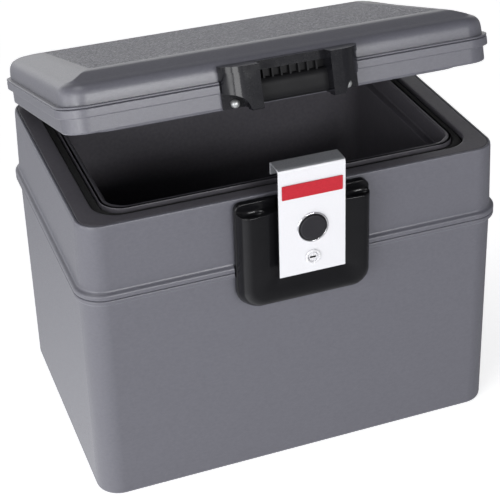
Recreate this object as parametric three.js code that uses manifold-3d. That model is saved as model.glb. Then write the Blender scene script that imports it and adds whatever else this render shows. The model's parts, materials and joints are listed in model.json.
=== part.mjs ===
// Fireproof document chest: an insulated plastic box with a lid hinged along the back, a push-button latch
// on the front and a deep cavity for hanging files. Millimetres, +Z up, the front faces -Y, and the origin
// is the centre of the underside. The lid group stands at its resting angle; its pieces are drawn closed.
import * as THREE from "three";
import { mergeVertices } from "three/addons/utils/BufferGeometryUtils.js";
import Module from "manifold-3d";

const wasm = await Module();
wasm.setup();

// ---- driving dimensions ----
const HALF_WIDTH = 195;
const HALF_DEPTH = 134;
const CORNER_RADIUS = 22;
const RIM_HEIGHT = 280.3;
const SEAM_HEIGHT = 211.3;
const RIB_OUT = 4;
const GAP = 0.3;
const SHELL_WALL = 4;
const BAND_INSET = 4.5;
const LINER_WALL = 3;
const CAVITY = { halfX: 152, halfY: 104, radius: 20, floor: 25 };
const LEDGE_HEIGHT = 262;
const LEDGE_HALF_X = 160;
const GROOVE = { innerX: 165, innerY: 109, outerX: 174, outerY: 118, floor: 272 };
const FLANGE_THICKNESS = 5;

const HINGE = { y: 133, z: 269.8 };
const LID_REST_OPEN_DEG = 17.05;
const LID_INSET = 3;
const LID_FACE = HALF_DEPTH - LID_INSET;
const LID_BOTTOM = 281;
const LID_SEAM = 302.8;
const LID_BAND = { bottom: 295, top: 304.8 };
const LID_PANEL = { middle: 327.4, fallPerMm: 0.0175 };
const LID_WALL = 3;
const LID_PAN = { halfX: 150, halfY: 98, radius: 18, top: 297 };
const LID_TONGUE = { outerX: 171.5, outerY: 115.5, thickness: 4, drop: 3.4 };

const HOUSING = { halfX: 62, bottom: 177, top: 279.3, shelf: 271.5, crest: 153.5, back: 134.4 };
const HOUSING_RIDGE = { width: 40, roundSide: 9.5, roundFront: 12, cornerRadius: 15 };
const POCKET = { halfX: 25.5, bottom: 211, step: 220, lowerFloor: 141.5, upperFloor: 138.7 };
const LATCH_PIVOT = { y: -143, z: 224, pinRadius: 2, pinHalfLength: 44 };
const PLATE = { halfX: 30.4, bottom: 212.3, top: 316.3, front: -162.2, thickness: 2 };
const HOOK = { tip: -142.2, lipBottom: 304.5, lipThickness: 2, stripThickness: 2 };
const BUTTON = { z: 257, radius: 12.2, travel: 3 };
const LOCK = { z: 227.6, barrelRadius: 6, plugRadius: 4, keywayHalfWidth: 2.4, keywayHalfHeight: 0.6 };
const LATCH_BODY = { halfX: 24, bottom: 213.5, top: 311, sheet: 2 };
const LATCH_FLANGE = { thickness: 2.8, depth: 9.5, top: 300 };
const LUG = { innerX: 14, outerX: 20.5, low: 214, high: 236, radius: 3.7 };
const CAM = { roundTop: 3.6, roundEnd: 2.4, length: 9, behindPlate: 13.3, thickness: 2 };
const BADGE = { halfX: 27.5, bottom: 288, top: 301.4 };

const HANDLE = { halfX: 61.5, top: 317.6, barBottom: 312.5, crest: 153.5, back: 131.4, legBottom: 279.8 };
const HANDLE_BACK_PLATE = 134;
const ARCH = { x: 58, z: 278.5, radius: 16 };
const HANDLE_RECESS_HALF_X = 31.5;
const LEG_OUTER_X = 41.5;
const STRIKE = { front: 141.5, top: 303, bottom: 282 };
const RIB_COUNT = 7;
const RIB_FRONT = 138.6;
const MIDDLE_BAR = { front: 139.4, bottom: 310 };

const HINGE_X = 120;
const HINGE_HALF_LENGTH = 25;
const KNUCKLE_RADIUS = 5;
const HINGE_PIN_RADIUS = 2.2;
const HINGE_POCKET = { halfLength: 26, wall: 2, front: 127.4, floor: 258 };

// ---- materials ----
function plain(color, roughness, metalness) {
  return new THREE.MeshStandardMaterial({ color, roughness, metalness });
}
const greyShell = plain(0x85858d, 0.55, 0);
const blackGloss = plain(0x1c1c1e, 0.25, 0);
const linerBlack = plain(0x2b2a2e, 0.5, 0);
const sealBlack = plain(0x111112, 0.8, 0);
const insulation = plain(0xbdb7aa, 0.95, 0);
const latchWhite = plain(0xe9e9ec, 0.35, 0);
const badgeRed = plain(0xc02d36, 0.5, 0);
const chrome = plain(0xc9cbce, 0.15, 1);
const steel = plain(0x8d8f93, 0.35, 1);
const buttonGrey = plain(0x3b3a3e, 0.4, 0);

// ---- shape helpers ----
function solid(geometry) {
  const bare = geometry.index ? geometry.toNonIndexed() : geometry.clone();
  for (const name of Object.keys(bare.attributes)) {
    if (name !== "position") bare.deleteAttribute(name);
  }
  const merged = mergeVertices(bare, 1e-4);
  const vertProperties = Float32Array.from(merged.attributes.position.array);
  const triVerts = Uint32Array.from(merged.index.array);
  return new wasm.Manifold(new wasm.Mesh({ numProp: 3, vertProperties, triVerts }));
}

function geometryOf(manifold) {
  const mesh = manifold.getMesh();
  const geometry = new THREE.BufferGeometry();
  geometry.setAttribute("position", new THREE.BufferAttribute(Float32Array.from(mesh.vertProperties), 3));
  geometry.setIndex(new THREE.BufferAttribute(Uint32Array.from(mesh.triVerts), 1));
  return geometry;
}

function join(first, ...others) {
  return others.reduce((sum, next) => sum.add(next), first);
}

function cut(first, ...others) {
  return others.reduce((rest, next) => rest.subtract(next), first);
}

// Outline of a rectangle with round corners, anticlockwise from above.
function roundedOutline(halfX, halfY, radius, steps = 5) {
  const points = [];
  const centres = [
    [halfX - radius, halfY - radius],
    [radius - halfX, halfY - radius],
    [radius - halfX, radius - halfY],
    [halfX - radius, radius - halfY],
  ];
  centres.forEach(([cx, cy], quarter) => {
    for (let i = 0; i <= steps; i++) {
      const angle = ((quarter + i / steps) * Math.PI) / 2;
      points.push(new THREE.Vector2(cx + radius * Math.cos(angle), cy + radius * Math.sin(angle)));
    }
  });
  return points;
}

// Outline of the chest's plan moved inwards by inset, keeping the corners round.
function bodyOutline(inset, basis = 0) {
  const radius = Math.max(CORNER_RADIUS - inset, 7);
  return roundedOutline(HALF_WIDTH - basis - inset, HALF_DEPTH - basis - inset, radius);
}

// Closed solid through a stack of outlines that all have the same number of points. A ring lies at height z,
// or at the height its rise function gives for each point.
function loft(rings) {
  const count = rings[0].points.length;
  const positions = [];
  const index = [];
  for (const ring of rings) {
    for (const point of ring.points) positions.push(point.x, point.y, ring.rise ? ring.rise(point) : ring.z);
  }
  for (let level = 0; level + 1 < rings.length; level++) {
    for (let i = 0; i < count; i++) {
      const a = level * count + i;
      const b = level * count + ((i + 1) % count);
      index.push(a, b, b + count, a, b + count, a + count);
    }
  }
  const last = (rings.length - 1) * count;
  for (const [a, b, c] of THREE.ShapeUtils.triangulateShape(rings[0].points, [])) {
    index.push(a, c, b);
  }
  for (const [a, b, c] of THREE.ShapeUtils.triangulateShape(rings[rings.length - 1].points, [])) {
    index.push(last + a, last + b, last + c);
  }
  const geometry = new THREE.BufferGeometry();
  geometry.setAttribute("position", new THREE.Float32BufferAttribute(positions, 3));
  geometry.setIndex(index);
  return solid(geometry);
}

function bodyLoft(profile) {
  return loft(profile.map(([inset, z]) => ({ z, points: bodyOutline(inset) })));
}

// Profiles of the lid are [inset, z, share]: share 1 puts a point on the top panel, which falls slightly to
// the back, and share 0 keeps it at z. Lowered by depth and moved in by wall, a profile gives the inside.
function lidLoft(profile, wall = 0, depth = wall) {
  return loft(profile.map(([inset, z, share = 0]) => ({
    points: bodyOutline(inset + wall, LID_INSET),
    rise: (point) => z + share * (LID_PANEL.middle - LID_PANEL.fallPerMm * point.y - z) - depth,
  })));
}

function slab(halfX, halfY, radius, low, high) {
  const points = roundedOutline(halfX, halfY, radius);
  return loft([{ z: low, points }, { z: high, points }]);
}

function extrude(points, length) {
  const shape = new THREE.Shape(points.map(([a, b]) => new THREE.Vector2(a, b)));
  return new THREE.ExtrudeGeometry(shape, { depth: length, bevelEnabled: false });
}

// Profile drawn as [y, z] pairs, run along X.
function prismAlongX(points, low, high) {
  const geometry = extrude(points, high - low);
  geometry.applyMatrix4(new THREE.Matrix4().set(0, 0, 1, low, 1, 0, 0, 0, 0, 1, 0, 0, 0, 0, 0, 1));
  return solid(geometry);
}

// Profile drawn as [x, z] pairs, run along Y between two depths.
function prismAlongY(points, low, high) {
  const geometry = extrude(points, high - low);
  geometry.applyMatrix4(new THREE.Matrix4().set(1, 0, 0, 0, 0, 0, -1, high, 0, 1, 0, 0, 0, 0, 0, 1));
  return solid(geometry);
}

// Profile drawn as [x, y] pairs, run along Z.
function prismAlongZ(points, low, high) {
  const geometry = extrude(points, high - low);
  geometry.translate(0, 0, low);
  return solid(geometry);
}

function box(x0, x1, y0, y1, z0, z1) {
  const geometry = new THREE.BoxGeometry(x1 - x0, y1 - y0, z1 - z0);
  geometry.translate((x0 + x1) / 2, (y0 + y1) / 2, (z0 + z1) / 2);
  return solid(geometry);
}

function rodAlongX(radius, x0, x1, y, z, sides = 20) {
  const geometry = new THREE.CylinderGeometry(radius, radius, x1 - x0, sides);
  geometry.rotateZ(Math.PI / 2);
  geometry.translate((x0 + x1) / 2, y, z);
  return solid(geometry);
}

function rodAlongY(radius, y0, y1, x, z, sides = 24) {
  const geometry = new THREE.CylinderGeometry(radius, radius, y1 - y0, sides);
  geometry.translate(x, (y0 + y1) / 2, z);
  return solid(geometry);
}

// Turned piece whose profile is [radius, depth] pairs, with depth measured along -Y from y = 0.
function turnedTowardsFront(profile, sides = 28) {
  const geometry = new THREE.LatheGeometry(profile.map(([r, d]) => new THREE.Vector2(r, d)), sides);
  geometry.rotateX(Math.PI);
  return geometry;
}

function arc(cy, cz, radius, from, to, steps) {
  const points = [];
  for (let i = 0; i <= steps; i++) {
    const angle = ((from + ((to - from) * i) / steps) * Math.PI) / 180;
    points.push([cy + radius * Math.cos(angle), cz + radius * Math.sin(angle)]);
  }
  return points;
}

const mirrorX = (points) => points.map(([x, other]) => [-x, other]).reverse();
const ordered = (a, b) => [Math.min(a, b), Math.max(a, b)];

const chest = new THREE.Group();
const lid = new THREE.Group();
lid.position.set(0, HINGE.y, HINGE.z);
lid.rotation.x = (-LID_REST_OPEN_DEG * Math.PI) / 180;
chest.add(lid);

function place(name, shape, material, group = chest) {
  const geometry = shape.isBufferGeometry ? shape : geometryOf(shape);
  const mesh = new THREE.Mesh(geometry, material);
  mesh.name = name;
  if (group === lid) mesh.position.set(0, -HINGE.y, -HINGE.z);
  group.add(mesh);
  return mesh;
}

// ---- base ----
function makeLowerShell() {
  const outer = bodyLoft([
    [4, 0], [1.2, 1.2], [0, 4], [0, 204.5], [-2.5, 205.6], [-RIB_OUT, 208], [-RIB_OUT, SEAM_HEIGHT],
  ]);
  const inner = bodyLoft([[SHELL_WALL, SHELL_WALL], [SHELL_WALL, SEAM_HEIGHT + 5]]);
  const behindHousing = box(-HOUSING.halfX - 1, HOUSING.halfX + 1, -150, -HALF_DEPTH, 200, 220);
  return cut(outer, inner, behindHousing);
}

// Block that fills a hinge pocket and its wall, reaching past the back of the chest.
function pocketBlock(x, extra) {
  const { halfLength, front, floor } = HINGE_POCKET;
  return box(
    x - halfLength - extra, x + halfLength + extra, front - extra, 150, floor - extra, RIM_HEIGHT + 5,
  );
}

const bothPockets = (extra) => join(pocketBlock(-HINGE_X, extra), pocketBlock(HINGE_X, extra));

function makeUpperShell() {
  const low = SEAM_HEIGHT + GAP;
  const outer = bodyLoft([
    [-RIB_OUT, low], [-RIB_OUT, 215], [-2.5, 217.4], [0, 218.5], [1.7, 277], [2.2, 279.4], [2.9, RIM_HEIGHT],
  ]);
  const inner = bodyLoft([[BAND_INSET, low - 5], [BAND_INSET, RIM_HEIGHT + 5]]);
  const behindHousing = box(-HOUSING.halfX - 1, HOUSING.halfX + 1, -150, -HALF_DEPTH, 200, 219);
  const pocketWalls = outer.intersect(bothPockets(HINGE_POCKET.wall));
  return cut(join(cut(outer, inner, behindHousing), pocketWalls), bothPockets(0));
}

function cavityWith(extra, top) {
  const lower = slab(CAVITY.halfX + extra, CAVITY.halfY + extra, CAVITY.radius, CAVITY.floor - extra, top);
  const ledge = slab(
    LEDGE_HALF_X + extra, CAVITY.halfY + extra, CAVITY.radius, LEDGE_HEIGHT - extra, top,
  );
  return join(lower, ledge);
}

function makeLiner() {
  const flange = bodyLoft([
    [BAND_INSET + 0.4, RIM_HEIGHT - FLANGE_THICKNESS], [BAND_INSET + 0.4, RIM_HEIGHT],
  ]);
  const trough = slab(GROOVE.outerX + 3, GROOVE.outerY + 3, 26, GROOVE.floor - 3.5, RIM_HEIGHT);
  const tub = cavityWith(LINER_WALL, RIM_HEIGHT);
  const groove = cut(
    slab(GROOVE.outerX, GROOVE.outerY, 24, GROOVE.floor, RIM_HEIGHT + 5),
    slab(GROOVE.innerX, GROOVE.innerY, 20, GROOVE.floor - 1, RIM_HEIGHT + 6),
  );
  const pockets = bothPockets(HINGE_POCKET.wall + GAP);
  return cut(join(flange, trough, tub), cavityWith(0, RIM_HEIGHT + 5), groove, pockets);
}

function makeBaseInsulation() {
  const inset = BAND_INSET + 0.4;
  const top = RIM_HEIGHT - FLANGE_THICKNESS - GAP;
  const block = bodyLoft([[inset, SHELL_WALL + GAP], [inset, top]]);
  const trough = slab(
    GROOVE.outerX + 3 + GAP, GROOVE.outerY + 3 + GAP, 26, GROOVE.floor - 3.5 - GAP, top + 5,
  );
  return cut(block, cavityWith(LINER_WALL + GAP, top + 5), trough, bothPockets(HINGE_POCKET.wall + GAP));
}

function makeSeal() {
  const outer = slab(GROOVE.outerX - 0.5, GROOVE.outerY - 0.5, 23.5, GROOVE.floor + GAP, 276.8);
  const inner = slab(GROOVE.innerX + 0.5, GROOVE.innerY + 0.5, 20.5, GROOVE.floor - 1, 278);
  return cut(outer, inner);
}

place("base_lower_shell", makeLowerShell(), greyShell);
place("base_upper_shell", makeUpperShell(), greyShell);
place("inner_liner", makeLiner(), linerBlack);
place("base_insulation", makeBaseInsulation(), insulation);
place("rim_seal", makeSeal(), sealBlack);

// ---- latch housing on the base ----
// A U-shaped ridge with rounded edges stands round the latch pocket, open at the top for the lid handle.
function makeRidge() {
  const { halfX, bottom, shelf, crest } = HOUSING;
  const { width, roundSide, roundFront, cornerRadius } = HOUSING_RIDGE;
  const inner = halfX - width;
  const top = shelf + 30;
  const outline = [
    ...arc(cornerRadius - halfX, bottom + cornerRadius, cornerRadius, 180, 270, 5),
    ...arc(halfX - cornerRadius, bottom + cornerRadius, cornerRadius, 270, 360, 5),
    [halfX, top], [inner, top],
    ...arc(inner - 6, bottom + width + 4, 6, 360, 270, 3),
    ...arc(6 - inner, bottom + width + 4, 6, 270, 180, 3),
    [-inner, top], [-halfX, top],
  ];
  const shape = new THREE.Shape(outline.map(([x, z]) => new THREE.Vector2(x, z)));
  const geometry = new THREE.ExtrudeGeometry(shape, {
    depth: 2 * roundFront,
    bevelThickness: roundFront,
    bevelSize: roundSide,
    bevelOffset: -roundSide,
    bevelSegments: 4,
  });
  geometry.rotateX(Math.PI / 2);
  geometry.computeBoundingBox();
  geometry.translate(0, -crest - geometry.boundingBox.min.y, 0);
  return solid(geometry);
}

function makeHousing() {
  const { halfX, bottom, top, shelf, back } = HOUSING;
  const ridge = makeRidge().intersect(box(-halfX - 1, halfX + 1, -170, -back, bottom - 1, shelf));
  const corner = HOUSING_RIDGE.cornerRadius;
  const face = [
    ...arc(halfX - 6, top - 6, 6, 0, 90, 4), ...arc(6 - halfX, top - 6, 6, 90, 180, 4),
    ...arc(corner - halfX, bottom + corner, corner, 180, 270, 5),
    ...arc(halfX - corner, bottom + corner, corner, 270, 360, 5),
  ];
  const backPlate = prismAlongY(face, -141, -back);
  const pocket = join(
    box(-POCKET.halfX, POCKET.halfX, -170, -POCKET.lowerFloor, POCKET.bottom, top + 5),
    box(-POCKET.halfX, POCKET.halfX, -170, -POCKET.upperFloor, POCKET.step, top + 5),
  );
  const reach = LATCH_PIVOT.pinHalfLength + 0.5;
  const pinBore = rodAlongX(LATCH_PIVOT.pinRadius + GAP, -reach, reach, LATCH_PIVOT.y, LATCH_PIVOT.z);
  return cut(join(ridge, backPlate), pocket, pinBore);
}

place("latch_housing", makeHousing(), blackGloss);
place(
  "latch_pivot_pin",
  rodAlongX(
    LATCH_PIVOT.pinRadius, -LATCH_PIVOT.pinHalfLength, LATCH_PIVOT.pinHalfLength,
    LATCH_PIVOT.y, LATCH_PIVOT.z,
  ),
  steel,
);

// A torsion spring round the pivot pin, with one leg on the housing and one behind the plate.
const SPRING = { radius: 3, wire: 0.5, turns: 5.5, halfLength: 12, legTop: 237, plateLegY: -156.3 };

function makeLatchSpring() {
  const points = [new THREE.Vector3(-SPRING.halfLength, LATCH_PIVOT.y + SPRING.radius, SPRING.legTop)];
  const steps = SPRING.turns * 10;
  for (let i = 0; i <= steps; i++) {
    const angle = -(2 * Math.PI * i) / 10;
    points.push(new THREE.Vector3(
      -SPRING.halfLength + (2 * SPRING.halfLength * i) / steps,
      LATCH_PIVOT.y + SPRING.radius * Math.cos(angle),
      LATCH_PIVOT.z + SPRING.radius * Math.sin(angle),
    ));
  }
  points.push(new THREE.Vector3(SPRING.halfLength, SPRING.plateLegY, SPRING.legTop));
  const path = new THREE.CatmullRomCurve3(points, false, "catmullrom", 0.1);
  const section = new THREE.Shape(
    arc(0, 0, SPRING.wire, 0, 300, 5).map(([a, b]) => new THREE.Vector2(a, b)),
  );
  return new THREE.ExtrudeGeometry(section, { extrudePath: path, steps: steps + 8, bevelEnabled: false });
}

place("latch_spring", makeLatchSpring(), steel);

// ---- latch plate and what it carries ----
// Holes for the button's bezel, the lock barrel and the pivot pin.
function latchHoles() {
  return [
    rodAlongY(BUTTON.radius + 1.4, -170, -156, 0, BUTTON.z, 28),
    rodAlongY(LOCK.barrelRadius + GAP, -170, -156, 0, LOCK.z, 24),
    rodAlongX(LATCH_PIVOT.pinRadius + GAP, -30.5, 30.5, LATCH_PIVOT.y, LATCH_PIVOT.z),
  ];
}

function makePlate() {
  const { halfX, bottom, top, front, thickness } = PLATE;
  const inner = front + thickness;
  const under = top - HOOK.stripThickness;
  const lip = HOOK.tip - HOOK.lipThickness;
  const profile = [
    [front + 0.6, bottom], [inner, bottom], [inner, under - 2], [inner + 2, under],
    [lip - 1.5, under], [lip, under - 1.5], [lip, HOOK.lipBottom], [HOOK.tip, HOOK.lipBottom],
    ...arc(HOOK.tip - 2.5, top - 2.5, 2.5, 0, 90, 3), ...arc(front + 3.5, top - 3.5, 3.5, 90, 180, 4),
    [front, bottom + 0.6],
  ];
  return cut(prismAlongX(profile.reverse(), -halfX, halfX), ...latchHoles());
}

// The moulding behind the plate: a sheet with two side flanges and the lugs that turn on the pivot pin.
function makeLatchBody() {
  const { halfX, bottom, top, sheet } = LATCH_BODY;
  const front = PLATE.front + PLATE.thickness + GAP;
  const back = front + sheet;
  const flanges = [-1, 1].map((sign) => {
    const sides = ordered(sign * halfX, sign * (halfX - LATCH_FLANGE.thickness));
    return box(...sides, front, front + LATCH_FLANGE.depth, bottom, LATCH_FLANGE.top);
  });
  const lugProfile = [
    [back - 1, LUG.low],
    ...arc(LATCH_PIVOT.y, LATCH_PIVOT.z, LUG.radius, 270, 450, 8),
    [back - 1, LUG.high],
  ];
  const lugs = [-1, 1].map((sign) => (
    prismAlongX(lugProfile, ...ordered(sign * LUG.innerX, sign * LUG.outerX))
  ));
  return cut(join(box(-halfX, halfX, front, back, bottom, top), ...flanges, ...lugs), ...latchHoles());
}

function placeTurned(name, profile, z, material, sides = 28) {
  const mesh = place(name, turnedTowardsFront(profile, sides), material);
  mesh.position.set(0, PLATE.front, z);
  return mesh;
}

place("latch_plate", makePlate(), latchWhite);
place("latch_body", makeLatchBody(), blackGloss);
const badgeOutline = roundedOutline(BADGE.halfX, (BADGE.top - BADGE.bottom) / 2, 1, 2).map((p) => [
  p.x, p.y + (BADGE.top + BADGE.bottom) / 2,
]);
place("latch_badge", prismAlongY(badgeOutline, PLATE.front - 1.1, PLATE.front - GAP), badgeRed);

// Turned profiles are [radius, distance in front of the plate's face]; negative distances are behind it.
const BEZEL_PROFILE = [
  [12.6, -6], [13.3, -6], [13.3, 0.3], [14.3, 0.3], [14.3, 0.8], [13.8, 1.3], [12.9, 1.3], [12.6, 1],
  [12.6, -6],
];
const BUTTON_PROFILE = [
  [0, -8.5], [14, -8.5], [14, -6.4], [BUTTON.radius, -6.4], [BUTTON.radius, 1], [11.4, 2], [8, 2.6],
  [0, 2.9],
];
const BARREL_PROFILE = [
  [4.3, -12], [6, -12], [6, 0.3], [7, 0.3], [7, 0.9], [6.4, 1.4], [4.3, 1.4], [4.3, -12],
];
placeTurned("button_bezel", BEZEL_PROFILE, BUTTON.z, chrome, 32);
placeTurned("push_button", BUTTON_PROFILE, BUTTON.z, buttonGrey, 32);
placeTurned("lock_barrel", BARREL_PROFILE, LOCK.z, chrome, 24);

function makePlug() {
  const front = PLATE.front;
  const body = rodAlongY(LOCK.plugRadius, front - 1.2, front + 13, 0, LOCK.z, 24);
  const { keywayHalfWidth, keywayHalfHeight } = LOCK;
  const keyway = box(
    -keywayHalfWidth, keywayHalfWidth, front - 3, front + 8,
    LOCK.z - keywayHalfHeight, LOCK.z + keywayHalfHeight,
  );
  return body.subtract(keyway);
}

function makeCam() {
  const outline = [
    ...arc(0, LOCK.z, CAM.roundTop, 0, 180, 6), ...arc(0, LOCK.z - CAM.length, CAM.roundEnd, 180, 360, 6),
  ];
  const near = PLATE.front + CAM.behindPlate;
  return prismAlongY(outline, near, near + CAM.thickness);
}

place("lock_plug", makePlug(), chrome);
place("lock_cam", makeCam(), steel);

// ---- lid, drawn closed ----
const LID_TOP_PROFILE = [
  [0, LID_BAND.top], [0.2, 310], [0.8, 314], [2.4, 317.2], [5.2, 320], [9.5, 321.9], [17, 321.9, 0.17],
  [23, 321.9, 0.42], [27.2, 321.9, 0.72], [29.5, 321.9, 0.9], [32.5, 321.9, 1],
];

function makeLidTop() {
  const lip = [
    [-RIB_OUT, LID_SEAM + GAP / 2], [-RIB_OUT, LID_BAND.top - 0.5], [0.5 - RIB_OUT, LID_BAND.top],
  ];
  const hollow = lidLoft([[0, LID_SEAM - 5], ...LID_TOP_PROFILE], LID_WALL);
  return cut(lidLoft([...lip, ...LID_TOP_PROFILE]), hollow, ...bandCuts());
}

// The seam band stops at the handle and at the hinges.
function bandCuts() {
  const low = LID_BAND.bottom - 1;
  const high = LID_BAND.top + 0.1;
  const cuts = [box(-HANDLE.halfX - 0.5, HANDLE.halfX + 0.5, -150, -LID_FACE, low, high)];
  for (const sign of [-1, 1]) {
    const x = sign * HINGE_X;
    cuts.push(box(x - HINGE_HALF_LENGTH - 1, x + HINGE_HALF_LENGTH + 1, LID_FACE, 150, low, high));
  }
  return cuts;
}

function makeLidBottom() {
  const outer = lidLoft([
    [1.5, LID_BOTTOM], [0, LID_BOTTOM + 1.5], [0, LID_BAND.bottom - 0.6], [0.6 - RIB_OUT, LID_BAND.bottom],
    [-RIB_OUT, LID_BAND.bottom + 0.8], [-RIB_OUT, LID_SEAM - GAP / 2],
  ]);
  const hollow = lidLoft([[LID_WALL + 0.5, LID_BOTTOM + LID_WALL], [LID_WALL + 0.5, LID_SEAM + 5]]);
  const pan = slab(LID_PAN.halfX + 3, LID_PAN.halfY + 3, LID_PAN.radius + 3, LID_BOTTOM, LID_PAN.top + 3);
  const recess = slab(LID_PAN.halfX, LID_PAN.halfY, LID_PAN.radius, LID_BOTTOM - 10, LID_PAN.top);
  const { outerX, outerY, thickness, drop } = LID_TONGUE;
  const tongue = cut(
    slab(outerX, outerY, 22, LID_BOTTOM - drop, LID_BOTTOM + 1),
    slab(outerX - thickness, outerY - thickness, 19, LID_BOTTOM - 9, LID_BOTTOM + 2),
  );
  return cut(join(cut(outer, hollow), pan, tongue), recess, ...bandCuts());
}

function makeLidInsulation() {
  const wall = LID_WALL + 0.9;
  const low = [0, LID_BOTTOM + LID_WALL + wall + GAP];
  const block = lidLoft([low, ...LID_TOP_PROFILE.slice(1)], wall);
  const pan = slab(
    LID_PAN.halfX + 3.3, LID_PAN.halfY + 3.3, LID_PAN.radius + 3.3, LID_BOTTOM - 5, LID_PAN.top + 3.3,
  );
  return block.subtract(pan);
}

place("lid_top_shell", makeLidTop(), greyShell, lid);
place("lid_bottom_shell", makeLidBottom(), greyShell, lid);
place("lid_insulation", makeLidInsulation(), insulation, lid);

// ---- lid handle ----
// Plan of the right-hand wing, from the leg's front corner round to the lid's face.
const WING_PLAN = [
  [LEG_OUTER_X, -HANDLE.crest], [46, -152.9], [51, -150.4], [55.6, -146.2], [59, -141.2], [60.6, -137.4],
  [60.8, -HANDLE.back],
];

function makeWing(sign) {
  const { top, barBottom, crest, back, legBottom } = HANDLE;
  const outline = [[HANDLE_RECESS_HALF_X, -crest], ...WING_PLAN, [HANDLE_RECESS_HALF_X, -back]].reverse();
  const plan = sign > 0 ? outline : mirrorX(outline);
  const grown = outline.map(([x, y]) => [x > LEG_OUTER_X + 1 ? x + 0.7 : x, y < 1 - back ? y - 0.5 : y]);
  const bar = prismAlongZ(sign > 0 ? grown : mirrorX(grown), barBottom, top);
  const wing = prismAlongZ(plan, LID_BOTTOM, barBottom + 1);
  const arch = rodAlongY(ARCH.radius, -170, -HANDLE_BACK_PLATE, sign * ARCH.x, ARCH.z, 40);
  const below = box(...ordered(sign * LEG_OUTER_X, sign * 80), -170, -HANDLE_BACK_PLATE, 270, ARCH.z + 3);
  const leg = prismAlongX(
    [
      [-crest, LID_BOTTOM + 1], [-crest, legBottom + 1.5], [1.5 - crest, legBottom], [-143.5, legBottom],
      [-142, legBottom + 1.5], [-142, LID_BOTTOM + 1],
    ],
    ...ordered(sign * HANDLE_RECESS_HALF_X, sign * LEG_OUTER_X),
  );
  return join(cut(wing, arch, below), bar, leg);
}

function makeHandle() {
  const { halfX, top, back } = HANDLE;
  const recess = HANDLE_RECESS_HALF_X;
  const backPlate = box(-halfX + 1, halfX - 1, -HANDLE_BACK_PLATE, -back, LID_BOTTOM + 0.5, top);
  const middleBar = box(-recess - 1, recess + 1, -MIDDLE_BAR.front, -back, MIDDLE_BAR.bottom, top);
  const strikeFace = [];
  for (let i = 0; i <= 8; i++) {
    const t = i / 8;
    const bulge = Math.sqrt(Math.max(0, 1 - (2 * t - 1) ** 4));
    const depth = back + 4 + (STRIKE.front - back - 4) * bulge;
    strikeFace.push([-depth, STRIKE.top + (STRIKE.bottom - STRIKE.top) * t]);
  }
  const strike = prismAlongX(
    [[-back, STRIKE.top], ...strikeFace, [-back, STRIKE.bottom]], -recess - 0.5, recess + 0.5,
  );
  const pitch = (2 * recess) / (RIB_COUNT + 1);
  const ribs = [];
  for (let i = 1; i <= RIB_COUNT; i++) {
    const x = -recess + i * pitch;
    ribs.push(box(x - 0.8, x + 0.8, -RIB_FRONT, -back, STRIKE.top - 3, MIDDLE_BAR.bottom + 1));
  }
  return join(backPlate, makeWing(-1), makeWing(1), middleBar, strike, ...ribs);
}

place("lid_handle", makeHandle(), blackGloss, lid);

const RIVET = { x: 50.5, z: 285 };
const RIVET_PROFILE = [[0, 0], [3.8, 0], [3.8, 1.6], [3.3, 3.2], [2.1, 4.4], [0, 4.9]];
[["left", -1], ["right", 1]].forEach(([side, sign]) => {
  const rivet = place(`handle_rivet_${side}`, turnedTowardsFront(RIVET_PROFILE, 16), steel, lid);
  rivet.position.set(sign * RIVET.x, -HANDLE_BACK_PLATE - GAP - HINGE.y, RIVET.z - HINGE.z);
});

// ---- hinges at the back ----
const LEAF = { low: 222, high: 259.5, inner: 134.5, outer: 138.3, screwZ: 238, screwX: 15 };
const PAD = { low: 296, high: 315.5, inner: 131.5, outer: 136, screwZ: 309, screwX: 17 };
const SCREW_PROFILE = [[0, 0], [2, 0], [2, 4.8], [3.8, 4.8], [3.8, 5.7], [2.8, 6.7], [0, 7]];

// A pan-head screw through a plate whose inner face is at depth y, with its head at the back.
function screwAt(name, x, y, z, group) {
  const screw = place(name, turnedTowardsFront(SCREW_PROFILE, 12), steel, group);
  screw.rotation.z = Math.PI;
  const inLid = group === lid;
  screw.position.set(x, y - (inLid ? HINGE.y : 0), z - (inLid ? HINGE.z : 0));
}

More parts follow.
